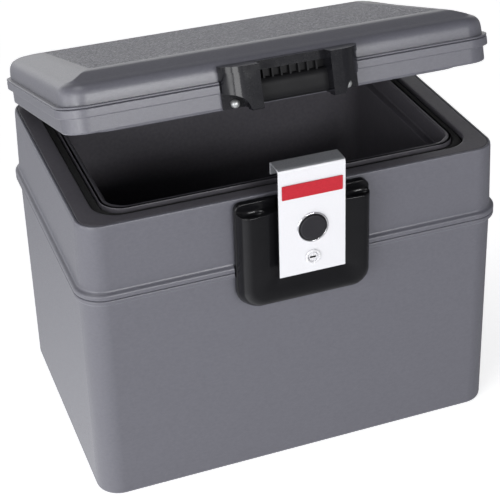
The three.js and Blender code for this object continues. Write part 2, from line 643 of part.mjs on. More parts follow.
[["left", -1], ["right", 1]].forEach(([side, sign]) => {
  const x = sign * HINGE_X;
  const start = x - HINGE_HALF_LENGTH;
  const end = x + HINGE_HALF_LENGTH;
  const third = (end - start) / 3;
  const leaf = box(start, end, LEAF.inner, LEAF.outer, LEAF.low, LEAF.high);
  const bore = rodAlongX(HINGE_PIN_RADIUS + GAP, start - 5, end + 5, HINGE.y, HINGE.z);
  const leafHoles = [-1, 1].map((s) => rodAlongY(2.3, 130, 145, x + s * LEAF.screwX, LEAF.screwZ, 12));
  const knuckles = [[start, start + third - GAP], [end - third + GAP, end]].flatMap(([a, b]) => [
    rodAlongX(KNUCKLE_RADIUS, a, b, HINGE.y, HINGE.z),
    prismAlongX(
      [
        [LEAF.inner, LEAF.high - 10], [LEAF.outer, LEAF.high - 10], [HINGE.y + 4.9, HINGE.z],
        [HINGE.y - 4.9, HINGE.z], [HINGE.y - 4.4, HINGE.z - 3.5], [LEAF.inner, LEAF.high - 1],
      ],
      a, b,
    ),
  ]);
  place(`hinge_bracket_${side}`, cut(join(leaf, ...knuckles), bore, ...leafHoles), blackGloss);
  place(`hinge_pin_${side}`, rodAlongX(HINGE_PIN_RADIUS, start - 0.8, end + 0.8, HINGE.y, HINGE.z), steel);

  const armStart = start + third;
  const armEnd = end - third;
  const arm = join(
    rodAlongX(KNUCKLE_RADIUS, armStart, armEnd, HINGE.y, HINGE.z),
    prismAlongX(
      [
        [PAD.inner, HINGE.z], [HINGE.y + 4.9, HINGE.z], [HINGE.y + 4.9, 290], [PAD.outer, 302],
        [PAD.inner, 302],
      ],
      armStart, armEnd,
    ),
    box(start, end, PAD.inner, PAD.outer, PAD.low, PAD.high),
  );
  const padHoles = [-1, 1].map((s) => rodAlongY(2.3, 125, 145, x + s * PAD.screwX, PAD.screwZ, 12));
  place(`lid_hinge_arm_${side}`, cut(arm, bore, ...padHoles), blackGloss, lid);

  [["inner", -sign], ["outer", sign]].forEach(([where, s]) => {
    screwAt(`bracket_screw_${side}_${where}`, x + s * LEAF.screwX, LEAF.outer - 4.2, LEAF.screwZ, chest);
    screwAt(`arm_screw_${side}_${where}`, x + s * PAD.screwX, PAD.outer - 4.4, PAD.screwZ, lid);
  });
});

export default chest;
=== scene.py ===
# Looks of the fireproof document chest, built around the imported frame.
# Shapes are drawn in millimetres in the chest's own frame (+Z up, front at -Y) and made in metres.
# Pieces of the lid are drawn with the lid shut, then turned about the hinge to the resting angle.
import json
import math

import bmesh
import bpy
from mathutils import Matrix, Vector


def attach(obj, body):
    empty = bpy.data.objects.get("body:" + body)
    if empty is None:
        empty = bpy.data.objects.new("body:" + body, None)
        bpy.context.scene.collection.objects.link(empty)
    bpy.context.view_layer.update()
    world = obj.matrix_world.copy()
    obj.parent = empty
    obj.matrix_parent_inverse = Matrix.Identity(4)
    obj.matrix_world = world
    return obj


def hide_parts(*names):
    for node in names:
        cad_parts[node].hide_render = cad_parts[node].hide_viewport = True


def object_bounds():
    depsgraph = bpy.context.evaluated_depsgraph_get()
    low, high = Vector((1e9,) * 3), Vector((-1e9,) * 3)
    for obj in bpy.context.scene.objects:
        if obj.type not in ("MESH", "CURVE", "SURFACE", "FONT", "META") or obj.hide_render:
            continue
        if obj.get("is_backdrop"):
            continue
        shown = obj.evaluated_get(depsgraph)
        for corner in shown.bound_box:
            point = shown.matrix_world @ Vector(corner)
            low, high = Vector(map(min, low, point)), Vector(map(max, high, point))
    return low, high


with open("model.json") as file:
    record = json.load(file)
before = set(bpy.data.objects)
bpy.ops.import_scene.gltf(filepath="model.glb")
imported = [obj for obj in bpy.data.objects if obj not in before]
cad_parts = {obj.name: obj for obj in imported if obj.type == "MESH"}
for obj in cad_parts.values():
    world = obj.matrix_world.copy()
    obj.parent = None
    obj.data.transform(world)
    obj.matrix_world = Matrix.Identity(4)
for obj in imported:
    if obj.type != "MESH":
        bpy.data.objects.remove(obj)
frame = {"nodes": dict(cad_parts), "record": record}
cad_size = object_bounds()
nodes = frame["nodes"]

MM = 0.001

# ---- driving dimensions, in millimetres ----
HALF_WIDTH = 195
HALF_DEPTH = 134
CORNER_RADIUS = 22
RIM = 280.3
SEAM = 211.3
GAP = 0.3
RIB_OUT = 4

HINGE_Y = 133
HINGE_Z = 269.8
LID_OPEN_DEG = 17.05
LID_INSET = 3
LID_FRONT = LID_INSET - HALF_DEPTH
LID_BOTTOM = 281
LID_SEAM = 302.8
BAND_LOW = 295
BAND_HIGH = 304.8
PANEL_MIDDLE = 327.4
PANEL_FALL = 0.0175
LID_WALL = 3
SHOULDER_INSET = 9
SHOULDER_Z = 322.2

BASE_CUT_X = 63
CAVITY_X = 152
CAVITY_Y = 104
CAVITY_FLOOR = 25
CAVITY_RADIUS = 20
LEDGE_X = 160
LEDGE_Z = 262
GROOVE_INNER_X = 165
GROOVE_OUTER_X = 174
GROOVE_FLOOR = 272
GROOVE_WIDER = 56
FLANGE_LOW = RIM - 5
LID_PAN_X = 150
LID_PAN_ROOF = 297
TONGUE_INNER_X = 167.5
TONGUE_OUTER_X = 171.5
TONGUE_LOW = 277.6

HINGE_X = 120
POCKET_HALF = 26
POCKET_FRONT = 127.4
POCKET_FLOOR = 258
POCKET_WALL = 2
PAD_HALF = 26
# (distance beside the hinge's middle, y, z)
BRACKET_SCREW = (15, 134.1, 238)
ARM_SCREW = (17, 131.6, 309)

HOUSING_X = 62
HOUSING_BOTTOM = 177
HOUSING_TOP = 279.3
HOUSING_SHELF = 271.5
HOUSING_CREST = -153.5
HOUSING_BACK = -134.4
HOUSING_PLATE_FRONT = -140.6
HOUSING_RADIUS = 17
SCOOP_X = 48.5
SCOOP_Y = -146.6
RIDGE_WIDTH = 36.5
RIDGE_CREST = 0.28
RIDGE_FALL = 3
LATCH_POCKET_X = 25.5
POCKET_BOTTOM = 211
POCKET_STEP = 220
POCKET_LOW_FACE = -141.5
POCKET_HIGH_FACE = -138.7

PIVOT_Y = -143
PIVOT_Z = 224
PIN_HOLE_RADIUS = 2.3
SHEET = 2
PLATE_X = 30.4
PLATE_BOTTOM = 212.3
PLATE_TOP = 316.3
PLATE_FRONT = -162.2
HOOK_SHADE_Y = -158
HOOK_TIP = -142.2
LIP_LOW = 304.5
LATCH_BODY_X = 24
LATCH_BODY_LOW = 213.5
LATCH_BODY_TOP = 311
LATCH_FLANGE_X = 21.2
LATCH_FLANGE_DEPTH = 9.5
LATCH_FLANGE_TOP = 300
LUG_LOW = 214
LUG_HIGH = 236
LUG_RADIUS = 3.7
LUG_INNER_X = 14
LUG_OUTER_X = 20.5
BADGE_X = 27.5
BADGE_LOW = 288
BADGE_TOP = 301.4
BUTTON_Z = 257
BEZEL_RADIUS = 12.7
CAP_RADIUS = 11.9
LOCK_Z = 227.6
BARREL_RADIUS = 6
PLUG_RADIUS = 4
KEYWAY_LEFT = -3.1
KEYWAY_RIGHT = 2.7
KEYWAY_HALF = 0.9
KEYWAY_DEPTH = 8
SPRING_HALF = 12
SPRING_RADIUS = 3
SPRING_WIRE = 0.5
SPRING_END_Z = 237

HANDLE_X = 61.5
HANDLE_TOP = 317.6
BAR_LOW = 312.5
HANDLE_BACK = -131.4
BACK_PLATE = -134
MIDDLE_FRONT = 139.4
MIDDLE_LOW = 310
RECESS_X = 31.5
LEG_X = 41.5
LEG_BOTTOM = 279.8
HANDLE_CREST = -153.5
SIDE_X = 60.8
ARCH_X = 58
ARCH_Z = 278.5
ARCH_RADIUS = 16
STRIKE_TOP = 303
STRIKE_LOW = 282
STRIKE_ROOT = 4
STRIKE_BULGE = 6.1
RIB_COUNT = 7
RIB_HALF = 0.8
RIB_FRONT = -138.6
RIB_LOW = 300
RIVET_X = 50.5
RIVET_Z = 285

# How fast the lid's corners get sharper past its shoulder, and the smallest radius that they reach.
SHARPER_PER_MM = 1.2
SMALLEST_LID_RADIUS = 1.5

CAMERA_PLACE = (-403.74, -1157.66, 888.99)
CAMERA_LENS = 105.83
CAMERA_SHIFT = (-0.0809, -0.1627)
YAW = 0.3686
PITCH = 0.4922
ROLL = -0.0171

CORNER_STEPS = 12


# ---- materials ----
def new_material(name, color, roughness, metallic=0.0, **sockets):
    material = bpy.data.materials.new(name)
    material.use_nodes = True
    shader = material.node_tree.nodes["Principled BSDF"]
    shader.inputs["Base Color"].default_value = (*color, 1.0)
    shader.inputs["Roughness"].default_value = roughness
    shader.inputs["Metallic"].default_value = metallic
    for socket, value in sockets.items():
        shader.inputs[socket.replace("_", " ")].default_value = value
    return material


def link(material, source, target):
    material.node_tree.links.new(source, target)


def noise(material, scale, detail=2.0, rough=0.5, stretch=(1, 1, 1)):
    tree = material.node_tree
    place = tree.nodes.new("ShaderNodeTexCoord")
    mapping = tree.nodes.new("ShaderNodeMapping")
    mapping.inputs["Scale"].default_value = stretch
    texture = tree.nodes.new("ShaderNodeTexNoise")
    texture.inputs["Scale"].default_value = scale
    texture.inputs["Detail"].default_value = detail
    texture.inputs["Roughness"].default_value = rough
    link(material, place.outputs["Object"], mapping.inputs["Vector"])
    link(material, mapping.outputs["Vector"], texture.inputs["Vector"])
    return texture.outputs["Fac"]


def spread(material, value, low, high, start=0.3, end=0.7):
    """Maps a texture value onto the range low to high."""
    node = material.node_tree.nodes.new("ShaderNodeMapRange")
    node.inputs["From Min"].default_value = start
    node.inputs["From Max"].default_value = end
    node.inputs["To Min"].default_value = low
    node.inputs["To Max"].default_value = high
    link(material, value, node.inputs["Value"])
    return node.outputs["Result"]


def tint(material, value, dark, light, margin=0.2):
    """Colour that runs from dark to light with a texture value, across its middle plus or minus a margin."""
    ramp = material.node_tree.nodes.new("ShaderNodeValToRGB")
    ramp.color_ramp.elements[0].position = 0.5 - margin
    ramp.color_ramp.elements[1].position = 0.5 + margin
    ramp.color_ramp.elements[0].color = (*dark, 1)
    ramp.color_ramp.elements[1].color = (*light, 1)
    link(material, value, ramp.inputs["Fac"])
    shader = material.node_tree.nodes["Principled BSDF"]
    link(material, ramp.outputs["Color"], shader.inputs["Base Color"])


def bumps(material, layers):
    """Stacks bump layers, each (texture value, height in metres, strength)."""
    normal = None
    for value, height, strength in layers:
        bump = material.node_tree.nodes.new("ShaderNodeBump")
        bump.inputs["Distance"].default_value = height
        bump.inputs["Strength"].default_value = strength
        link(material, value, bump.inputs["Height"])
        if normal is not None:
            link(material, normal, bump.inputs["Normal"])
        normal = bump.outputs["Normal"]
    shader = material.node_tree.nodes["Principled BSDF"]
    link(material, normal, shader.inputs["Normal"])


def rough_from(material, value):
    link(material, value, material.node_tree.nodes["Principled BSDF"].inputs["Roughness"])


def scaled(color, factor):
    return tuple(channel * factor for channel in color)


def moulded_grey(name, color, grain, grain_height, mottle, margin, smoothest, roughest):
    """Textured moulding: fine stipple, slow waviness and faint shade changes."""
    material = new_material(name, color, 0.5, Specular_IOR_Level=0.75)
    fine = noise(material, grain, 3.0, 0.6)
    slow = noise(material, 9.0, 2.0)
    dark, light = scaled(color, 1 - mottle), scaled(color, 1 + mottle)
    tint(material, noise(material, grain * 0.5, 4.0, 0.7, (0.6, 1, 1)), dark, light, margin)
    rough_from(material, spread(material, fine, smoothest, roughest, 0.5 - margin, 0.5 + margin))
    bumps(material, [(slow, 0.002, 0.12), (fine, grain_height, 0.5)])
    return material


GREY = (0.104, 0.104, 0.124)
grey = moulded_grey("grey_moulding", GREY, 900.0, 0.0002, 0.08, 0.2, 0.34, 0.42)
grey_stippled = moulded_grey("grey_stippled_panel", (0.1, 0.1, 0.126), 420.0, 0.003, 0.13, 0.09, 0.34, 0.62)

black = new_material("black_gloss_plastic", (0.006, 0.006, 0.007), 0.2, Specular_IOR_Level=0.3)
rough_from(black, spread(black, noise(black, 60.0, 3.0), 0.16, 0.24))
bumps(black, [(noise(black, 45.0, 2.0), 0.0008, 0.15), (noise(black, 1400.0, 2.0), 0.00006, 0.3)])

satin_black = new_material("black_satin_plastic", (0.008, 0.008, 0.01), 0.2, Specular_IOR_Level=0.36)
tint(satin_black, noise(satin_black, 500.0, 3.0), (0.007, 0.007, 0.009), (0.01, 0.01, 0.012))
rough_from(satin_black, spread(satin_black, noise(satin_black, 70.0, 3.0), 0.11, 0.17))
bumps(satin_black, [(noise(satin_black, 1200.0, 3.0), 0.00003, 0.3)])

# Dull black for the handle's recess; the lock's keyway walls also get it, as painted shade on the plug's
# metal.
recess_black_and_keyway_shade = new_material("handle_recess_black_and_keyway_painted_shade", (0.009, 0.009, 0.01), 0.5, Specular_IOR_Level=0.16)
rough_from(recess_black_and_keyway_shade, spread(recess_black_and_keyway_shade, noise(recess_black_and_keyway_shade, 70.0, 3.0), 0.46, 0.56))
bumps(recess_black_and_keyway_shade, [(noise(recess_black_and_keyway_shade, 1200.0, 3.0), 0.00012, 0.4)])

liner = new_material("liner_plastic", (0.05, 0.048, 0.053), 0.38)
tint(liner, noise(liner, 300.0, 4.0), (0.069, 0.066, 0.076), (0.087, 0.083, 0.094))
rough_from(liner, spread(liner, noise(liner, 14.0, 3.0), 0.33, 0.46))
bumps(liner, [(noise(liner, 1100.0, 3.0), 0.00015, 0.4), (noise(liner, 20.0), 0.001, 0.15)])

rubber = new_material("seal_rubber", (0.012, 0.012, 0.012), 0.85)
tint(rubber, noise(rubber, 500.0, 3.0), (0.009, 0.009, 0.009), (0.02, 0.02, 0.02))
bumps(rubber, [(noise(rubber, 1500.0, 4.0, 0.7), 0.0004, 0.7)])

mineral = new_material("mineral_fill", (0.5, 0.47, 0.4), 0.95)
tint(mineral, noise(mineral, 240.0, 6.0), (0.4, 0.37, 0.31), (0.6, 0.57, 0.5))
bumps(mineral, [(noise(mineral, 500.0, 5.0, 0.7), 0.0008, 0.8)])

white = new_material("latch_pale_plastic", (0.7, 0.7, 0.72), 0.34, Coat_Weight=0.3, Coat_Roughness=0.15)
tint(white, noise(white, 900.0, 3.0), (0.62, 0.62, 0.645), (0.66, 0.66, 0.685))
rough_from(white, spread(white, noise(white, 40.0, 3.0), 0.3, 0.4))
bumps(white, [(noise(white, 1600.0, 2.0), 0.00006, 0.3)])

# Darker grey for the latch plate's up-facing top and hook faces: painted shade, as these are the same pale
# plate seen in less light.
plate_top_painted_shade = new_material("latch_plate_top_painted_shade", (0.3, 0.3, 0.32), 0.36, 0.4)
tint(plate_top_painted_shade, noise(plate_top_painted_shade, 900.0, 3.0), (0.21, 0.215, 0.23), (0.27, 0.275, 0.29))
rough_from(plate_top_painted_shade, spread(plate_top_painted_shade, noise(plate_top_painted_shade, 500.0, 3.0, stretch=(0.15, 1, 1)), 0.3, 0.42))

red = new_material("badge_red", (0.46, 0.018, 0.035), 0.5, Specular_IOR_Level=0.25)
tint(red, noise(red, 700.0, 3.0), (0.38, 0.01, 0.02), (0.44, 0.013, 0.026))
bumps(red, [(noise(red, 2200.0, 2.0), 0.00005, 0.4)])

chrome = new_material("chrome", (0.9, 0.9, 0.92), 0.2, 1.0)
rough_from(chrome, spread(chrome, noise(chrome, 700.0, 3.0), 0.07, 0.13))

nickel = new_material("satin_nickel", (0.82, 0.82, 0.84), 0.26, 0.4)
tint(nickel, noise(nickel, 900.0, 3.0), (0.78, 0.78, 0.8), (0.86, 0.86, 0.88))
rough_from(nickel, spread(nickel, noise(nickel, 700.0, 3.0), 0.2, 0.32))

steel = new_material("steel", (0.46, 0.46, 0.48), 0.33, 1.0)
tint(steel, noise(steel, 400.0, 4.0), (0.4, 0.4, 0.42), (0.52, 0.52, 0.54))
rough_from(steel, spread(steel, noise(steel, 900.0, 3.0, stretch=(1, 1, 0.1)), 0.26, 0.42))
bumps(steel, [(noise(steel, 1800.0, 2.0, stretch=(1, 1, 0.1)), 0.00005, 0.4)])

button_grey = new_material("button_plastic", (0.015, 0.014, 0.018), 0.5, Specular_IOR_Level=0.3)
tint(button_grey, noise(button_grey, 900.0, 3.0), (0.013, 0.013, 0.016), (0.019, 0.018, 0.022))
bumps(button_grey, [(noise(button_grey, 2000.0, 3.0), 0.00012, 0.5)])

bright_steel = new_material("rivet_bright_steel", (0.4, 0.41, 0.41), 0.4, 0.7)
tint(bright_steel, noise(bright_steel, 600.0, 3.0), (0.36, 0.37, 0.37), (0.44, 0.45, 0.45))
bumps(bright_steel, [(noise(bright_steel, 1500.0, 3.0), 0.00005, 0.4)])

SLOTS = {
    "grey_shell": grey,
    "black_gloss_plastic": black,
    "liner_plastic": liner,
    "seal_rubber": rubber,
    "insulation": mineral,
    "latch_white": white,
    "badge_red": red,
    "chrome": chrome,
    "steel": steel,
    "button_plastic": button_grey,
}


# ---- shape helpers ----
def turned_open(point):
    """Moves a point of the shut lid to the lid's resting angle."""
    angle = math.radians(LID_OPEN_DEG)
    y, z = point[1] - HINGE_Y, point[2] - HINGE_Z
    new_y = HINGE_Y + y * math.cos(angle) + z * math.sin(angle)
    new_z = HINGE_Z - y * math.sin(angle) + z * math.cos(angle)
    return (point[0], new_y, new_z)


def mesh_object(name, points, faces):
    mesh = bpy.data.meshes.new(name)
    mesh.from_pydata([Vector(p) * MM for p in points], [], faces)
    work = bmesh.new()
    work.from_mesh(mesh)
    bmesh.ops.remove_doubles(work, verts=work.verts, dist=1e-7)
    bmesh.ops.recalc_face_normals(work, faces=work.faces)
    work.to_mesh(mesh)
    work.free()
    piece = bpy.data.objects.new(name, mesh)
    bpy.context.scene.collection.objects.link(piece)
    return piece


def arc(a, b, radius, start, end, steps):
    """Points on an arc about (a, b), from the start angle to the end angle in degrees."""
    points = []
    for i in range(steps + 1):
        angle = math.radians(start + (end - start) * i / steps)
        points.append((a + radius * math.cos(angle), b + radius * math.sin(angle)))
    return points


def rounded(corners, steps=5, closed=False):
    """Polyline whose corners (a, b, radius) are rounded; a corner without a radius stays sharp."""
    result = []
    count = len(corners)
    for i, corner in enumerate(corners):
        radius = corner[2] if len(corner) > 2 else 0
        here = Vector(corner[:2])
        inside = closed or 0 < i < count - 1
        if radius == 0 or not inside:
            result.append(tuple(here))
            continue
        back = (Vector(corners[i - 1][:2]) - here).normalized()
        ahead = (Vector(corners[(i + 1) % count][:2]) - here).normalized()
        half = back.angle(ahead) / 2
        reach = radius / math.tan(half)
        middle = here + (back + ahead).normalized() * (radius / math.sin(half))
        first = here + back * reach - middle
        last = here + ahead * reach - middle
        sweep = first.angle_signed(last)
        for k in range(steps + 1):
            turn = Matrix.Rotation(-sweep * k / steps, 2)
            result.append(tuple(middle + turn @ first))
    return result


def smooth_path(points, per=4):
    """Catmull-Rom curve through points of any size, with per steps between two of them."""
    result = []
    for i in range(len(points) - 1):
        p0 = points[max(i - 1, 0)]
        p1 = points[i]
        p2 = points[i + 1]
        p3 = points[min(i + 2, len(points) - 1)]
        for k in range(per):
            t = k / per
            result.append(tuple(
                0.5 * (2 * b + (c - a) * t + (2 * a - 5 * b + 4 * c - d) * t * t
                       + (3 * b - a - 3 * c + d) * t ** 3)
                for a, b, c, d in zip(p0, p1, p2, p3)
            ))
    result.append(tuple(points[-1]))
    return result


def round_rectangle(half_x, half_y, radius, steps=CORNER_STEPS):
    points = []
    signs = ((1, 1), (-1, 1), (-1, -1), (1, -1))
    for quarter, (sx, sy) in enumerate(signs):
        centre = (sx * (half_x - radius), sy * (half_y - radius))
        points += arc(*centre, radius, 90 * quarter, 90 * quarter + 90, steps)
    return points


def body_ring(inset, z, basis=0, smallest=7):
    radius = max(CORNER_RADIUS - inset, smallest)
    outline = round_rectangle(HALF_WIDTH - basis - inset, HALF_DEPTH - basis - inset, radius)
    return [(x, y, z) for x, y in outline]


def slab_ring(half_x, half_y, radius, z):
    return [(x, y, z) for x, y in round_rectangle(half_x, half_y, radius)]


def lid_ring(inset, z, share=0, wall=0):
    """Ring of the shut lid; share 1 lies on the top panel, which falls slightly towards the back.

    Past the shoulder the corners get sharper while the sides stay where the inset puts them.
    """
    sharper = max(inset - SHOULDER_INSET, 0) * SHARPER_PER_MM
    ring = body_ring(inset + wall + sharper, z, LID_INSET - sharper, SMALLEST_LID_RADIUS)
    return [(x, y, z + share * (PANEL_MIDDLE - PANEL_FALL * y - z) - wall) for x, y, z in ring]


def loft(name, rings, joined=False):
    """Skin through rings with equal counts; its ends are capped, or joined to each other."""
    count = len(rings[0])
    points = [p for ring in rings for p in ring]
    faces = []
    levels = len(rings) if joined else len(rings) - 1
    for level in range(levels):
        low = level * count
        high = ((level + 1) % len(rings)) * count
        for i in range(count):
            j = (i + 1) % count
            faces.append((low + i, low + j, high + j, high + i))
    if not joined:
        faces.append(tuple(range(count)))
        faces.append(tuple(range(len(points) - count, len(points))))
    return mesh_object(name, points, faces)


def prism(name, outline, low, high, axis):
    """Outline run along an axis: (y, z) pairs along X, (x, z) pairs along Y, (x, y) pairs along Z."""
    order = {"X": lambda a, b, t: (t, a, b), "Y": lambda a, b, t: (a, t, b), "Z": lambda a, b, t: (a, b, t)}
    rings = [[order[axis](a, b, t) for a, b in outline] for t in (low, high)]
    return loft(name, rings)


def block(name, x0, x1, y0, y1, z0, z1):
    return prism(name, [(x0, y0), (x1, y0), (x1, y1), (x0, y1)], z0, z1, "Z")


def circle(a, b, radius, steps):
    return arc(a, b, radius, 0, 360 - 360 / steps, steps - 1)


def rod(name, radius, low, high, a, b, axis, steps=48):
    return prism(name, circle(a, b, radius, steps), low, high, axis)


def lathe(name, profile, x, z, face, steps=72):
    """Piece turned about a line along Y; the profile is (radius, distance in front of the face)."""
    points = []
    faces = []
    rows = []
    for radius, depth in profile:
        if radius < 1e-6:
            rows.append([len(points)])
            points.append((x, face - depth, z))
            continue
        rows.append(list(range(len(points), len(points) + steps)))
        points += [(x + a, face - depth, z + b) for a, b in circle(0, 0, radius, steps)]
    for low, high in zip(rows, rows[1:]):
        for i in range(steps):
            j = (i + 1) % steps
            corners = [low[i % len(low)], low[j % len(low)], high[j % len(high)], high[i % len(high)]]
            face_corners = list(dict.fromkeys(corners))
            if len(face_corners) > 2:
                faces.append(tuple(face_corners))
    return mesh_object(name, points, faces)


def apply_modifiers(piece):
    bpy.context.view_layer.update()
    shown = piece.evaluated_get(bpy.context.evaluated_depsgraph_get())
    mesh = bpy.data.meshes.new_from_object(shown)
    piece.modifiers.clear()
    piece.data = mesh


def combine(piece, tools, operation):
    for tool in tools:
        modifier = piece.modifiers.new("combine", "BOOLEAN")
        modifier.operation = operation
        modifier.solver = "EXACT"
        modifier.object = tool
        apply_modifiers(piece)
        bpy.data.objects.remove(tool)
    return piece


def cut(piece, *tools):
    return combine(piece, tools, "DIFFERENCE")


def join(piece, *tools):
    return combine(piece, tools, "UNION")


def soften(piece, width, angle=35, segments=3):
    """Rounds every edge sharper than the angle."""
    modifier = piece.modifiers.new("soften", "BEVEL")
    modifier.width = width * MM
    modifier.segments = segments
    modifier.limit_method = "ANGLE"
    modifier.angle_limit = math.radians(angle)
    modifier.use_clamp_overlap = True
    apply_modifiers(piece)
    return piece


def shade(piece, sharp_deg=32):
    piece.data.polygons.foreach_set("use_smooth", [True] * len(piece.data.polygons))
    piece.data.set_sharp_from_angle(angle=math.radians(sharp_deg))


def keep(piece, body, slot, stands_for, sharp_deg=32, finish=None):
    """Finishes a piece: shading, material, the body it rides on and the CAD nodes it stands for."""
    if body == "lid":
        for vertex in piece.data.vertices:
            vertex.co = Vector(turned_open(vertex.co / MM)) * MM
    shade(piece, sharp_deg)
    flat_faces = piece.modifiers.new("flat_faces", "WEIGHTED_NORMAL")
    flat_faces.keep_sharp = True
    flat_faces.weight = 80
    piece.data.materials.clear()
    piece.data.materials.append(finish or SLOTS[slot])
    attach(piece, body)
    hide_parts(*stands_for)
    return piece


# ---- base shells ----
def make_lower_shell():
    outside = rounded([
        (9, 0), (0, 0, 4), (0, 206, 3), (-RIB_OUT, 206.6, 2.2), (-RIB_OUT, SEAM, 1.5), (0, SEAM), (4, SEAM),
    ])
    rings = [body_ring(inset, z) for inset, z in outside]
    rings += [body_ring(4, 6), body_ring(12, 4)]
    shell = loft("lower_shell", rings)
    cut(shell, block("tool", -BASE_CUT_X, BASE_CUT_X, -150, -HALF_DEPTH, 200, 220))
    return keep(shell, "chest", "grey_shell", ["base_lower_shell"])


def pocket_tool(x, extra):
    half = POCKET_HALF + extra
    return block("tool", x - half, x + half, POCKET_FRONT - extra, 150, POCKET_FLOOR - extra, RIM + 5)


def make_upper_shell():
    low = SEAM + GAP
    inner = 4.5
    outline = rounded([
        (inner, low), (-RIB_OUT, low, 1.5), (-RIB_OUT, 216.5, 2.4), (0, 217.5, 3), (1.7, 277, 10),
        (2.3, RIM, 1.1), (inner, RIM, 0.3),
    ], closed=True)
    shell = loft("upper_shell", [body_ring(inset, z) for inset, z in outline], joined=True)
    for sign in (-1, 1):
        x = sign * HINGE_X
        half = POCKET_HALF + POCKET_WALL
        low_wall = POCKET_FLOOR - POCKET_WALL
        join(shell, block("tool", x - half, x + half, POCKET_FRONT - POCKET_WALL, 131, low_wall, RIM))
    cut(shell, *[pocket_tool(sign * HINGE_X, 0) for sign in (-1, 1)])
    cut(shell, block("tool", -BASE_CUT_X, BASE_CUT_X, -150, -HALF_DEPTH, 200, 219))
    return keep(shell, "chest", "grey_shell", ["base_upper_shell"])


make_lower_shell()
make_upper_shell()


# ---- liner with its rim flange, seal groove and hanging ledges ----
def groove_ring(half_x, z, radius=CAVITY_RADIUS, start=GROOVE_INNER_X, growth=0.45):
    """Ring beside a groove that runs round the rim, with corners that grow with its width."""
    return slab_ring(half_x, half_x - GROOVE_WIDER, radius + (half_x - start) * growth, z)


def make_liner():
    rings = [slab_ring(140, 92, 12, CAVITY_FLOOR)]
    cavity = rounded([
        (140, CAVITY_FLOOR), (CAVITY_X, CAVITY_FLOOR, 9), (CAVITY_X, LEDGE_Z, 1), (LEDGE_X, LEDGE_Z, 1.5),
        (LEDGE_X, RIM, 2), (GROOVE_INNER_X, RIM),
    ])
    for half_x, z in cavity:
        grow = min(half_x - CAVITY_X, 0)
        half_y = CAVITY_Y + grow + max(half_x - LEDGE_X, 0)
        rings.append(slab_ring(half_x, half_y, max(CAVITY_RADIUS + grow, 10), z))
    groove = rounded([
        (163, RIM), (GROOVE_INNER_X, RIM, 1.2), (GROOVE_INNER_X, GROOVE_FLOOR, 1.5),
        (GROOVE_OUTER_X, GROOVE_FLOOR, 1.5), (GROOVE_OUTER_X, RIM, 1.4), (178, RIM),
    ])
    rings += [groove_ring(half_x, z) for half_x, z in groove]
    edge = 4.9
    for inset, z in rounded([(12, RIM), (edge, RIM, 0.8), (edge, FLANGE_LOW, 0.5), (14, FLANGE_LOW)]):
        rings.append(body_ring(inset, z))
    rings += [slab_ring(177, 121, 26, z) for z in (FLANGE_LOW, 268.5)]
    rings += [slab_ring(163, 107, 22, z) for z in (268.5, 259)]
    rings += [slab_ring(155, 107, 22, z) for z in (259, 22)]
    tub = loft("liner", rings)
    cut(tub, *[pocket_tool(sign * HINGE_X, 2.3) for sign in (-1, 1)])
    return keep(tub, "chest", "liner_plastic", ["inner_liner"])


def make_seal():
    section = rounded([
        (165.6, 272.4, 1), (173.4, 272.4, 1), (173.4, 276.7, 2), (165.6, 276.7, 2),
    ], closed=True)
    seal = loft("seal", [groove_ring(half_x, z) for half_x, z in section], joined=True)
    return keep(seal, "chest", "seal_rubber", ["rim_seal"])


make_liner()
make_seal()


# ---- latch housing ----
def ridge_outline(side_gap, low, radius, top):
    """U-shaped line from the top left, round the bottom, to the top right."""
    x = HOUSING_X - side_gap
    corner_steps = 14
    side_steps = 16
    bottom_steps = 20
    left = [(-x, top + (low + radius - top) * i / side_steps) for i in range(side_steps)]
    points = left + arc(radius - x, low + radius, radius, 180, 270, corner_steps)
    start, end = radius - x, x - radius
    points += [(start + (end - start) * i / bottom_steps, low) for i in range(1, bottom_steps)]
    points += arc(x - radius, low + radius, radius, 270, 360, corner_steps)
    points += [(x, z) for _, z in reversed(left)]
    return points


def ridge_section(steps=28):
    """(share of the width, height) across the ridge: a quick rise to the crest, then a slow fall."""
    height = HOUSING_BACK - HOUSING_CREST
    section = []
    for i in range(steps + 1):
        t = i / steps
        if t < RIDGE_CREST:
            rise = height * (1 - (1 - t / RIDGE_CREST) ** 2.3) ** 0.5
        else:
            fall = (t - RIDGE_CREST) / (1 - RIDGE_CREST)
            rise = height - RIDGE_FALL * fall ** 2
        section.append((t, rise))
    return section


def make_ridge(top):
    """Rounded U of the housing, skinned from its outer line to its inner one."""
    outer = ridge_outline(0, HOUSING_BOTTOM, HOUSING_RADIUS, top)
    inner = ridge_outline(RIDGE_WIDTH, POCKET_BOTTOM, 3, top)
    section = ridge_section()
    points = []
    faces = []
    across = len(section) + 2
    for a, b in zip(outer, inner):
        points.append((a[0], HOUSING_BACK, a[1]))
        for t, rise in section:
            points.append((a[0] + (b[0] - a[0]) * t, HOUSING_BACK - rise, a[1] + (b[1] - a[1]) * t))
        points.append((b[0], HOUSING_BACK, b[1]))
    for i in range(len(outer) - 1):
        for k in range(across):
            n = (k + 1) % across
            faces.append((i * across + k, i * across + n, (i + 1) * across + n, (i + 1) * across + k))
    faces.append(tuple(range(across)))
    faces.append(tuple(range(len(points) - across, len(points))))
    return soften(mesh_object("housing", points, faces), 1.6, 55, 4)


def scoop_tool(sign, top):
    """Shallow oval dish in the top of one column, as (radius, height) rings."""
    dish = ((6.5, top - 3), (9.2, top - 2.4), (10.8, top - 1), (11.4, top + 0.01), (11.8, top + 1))
    round_line = arc(0, 0, 1, 0, 350, 35)
    return loft("tool", [
        [(sign * SCOOP_X + x * radius, SCOOP_Y + 0.5 * y * radius, z) for x, y in round_line]
        for radius, z in dish
    ])


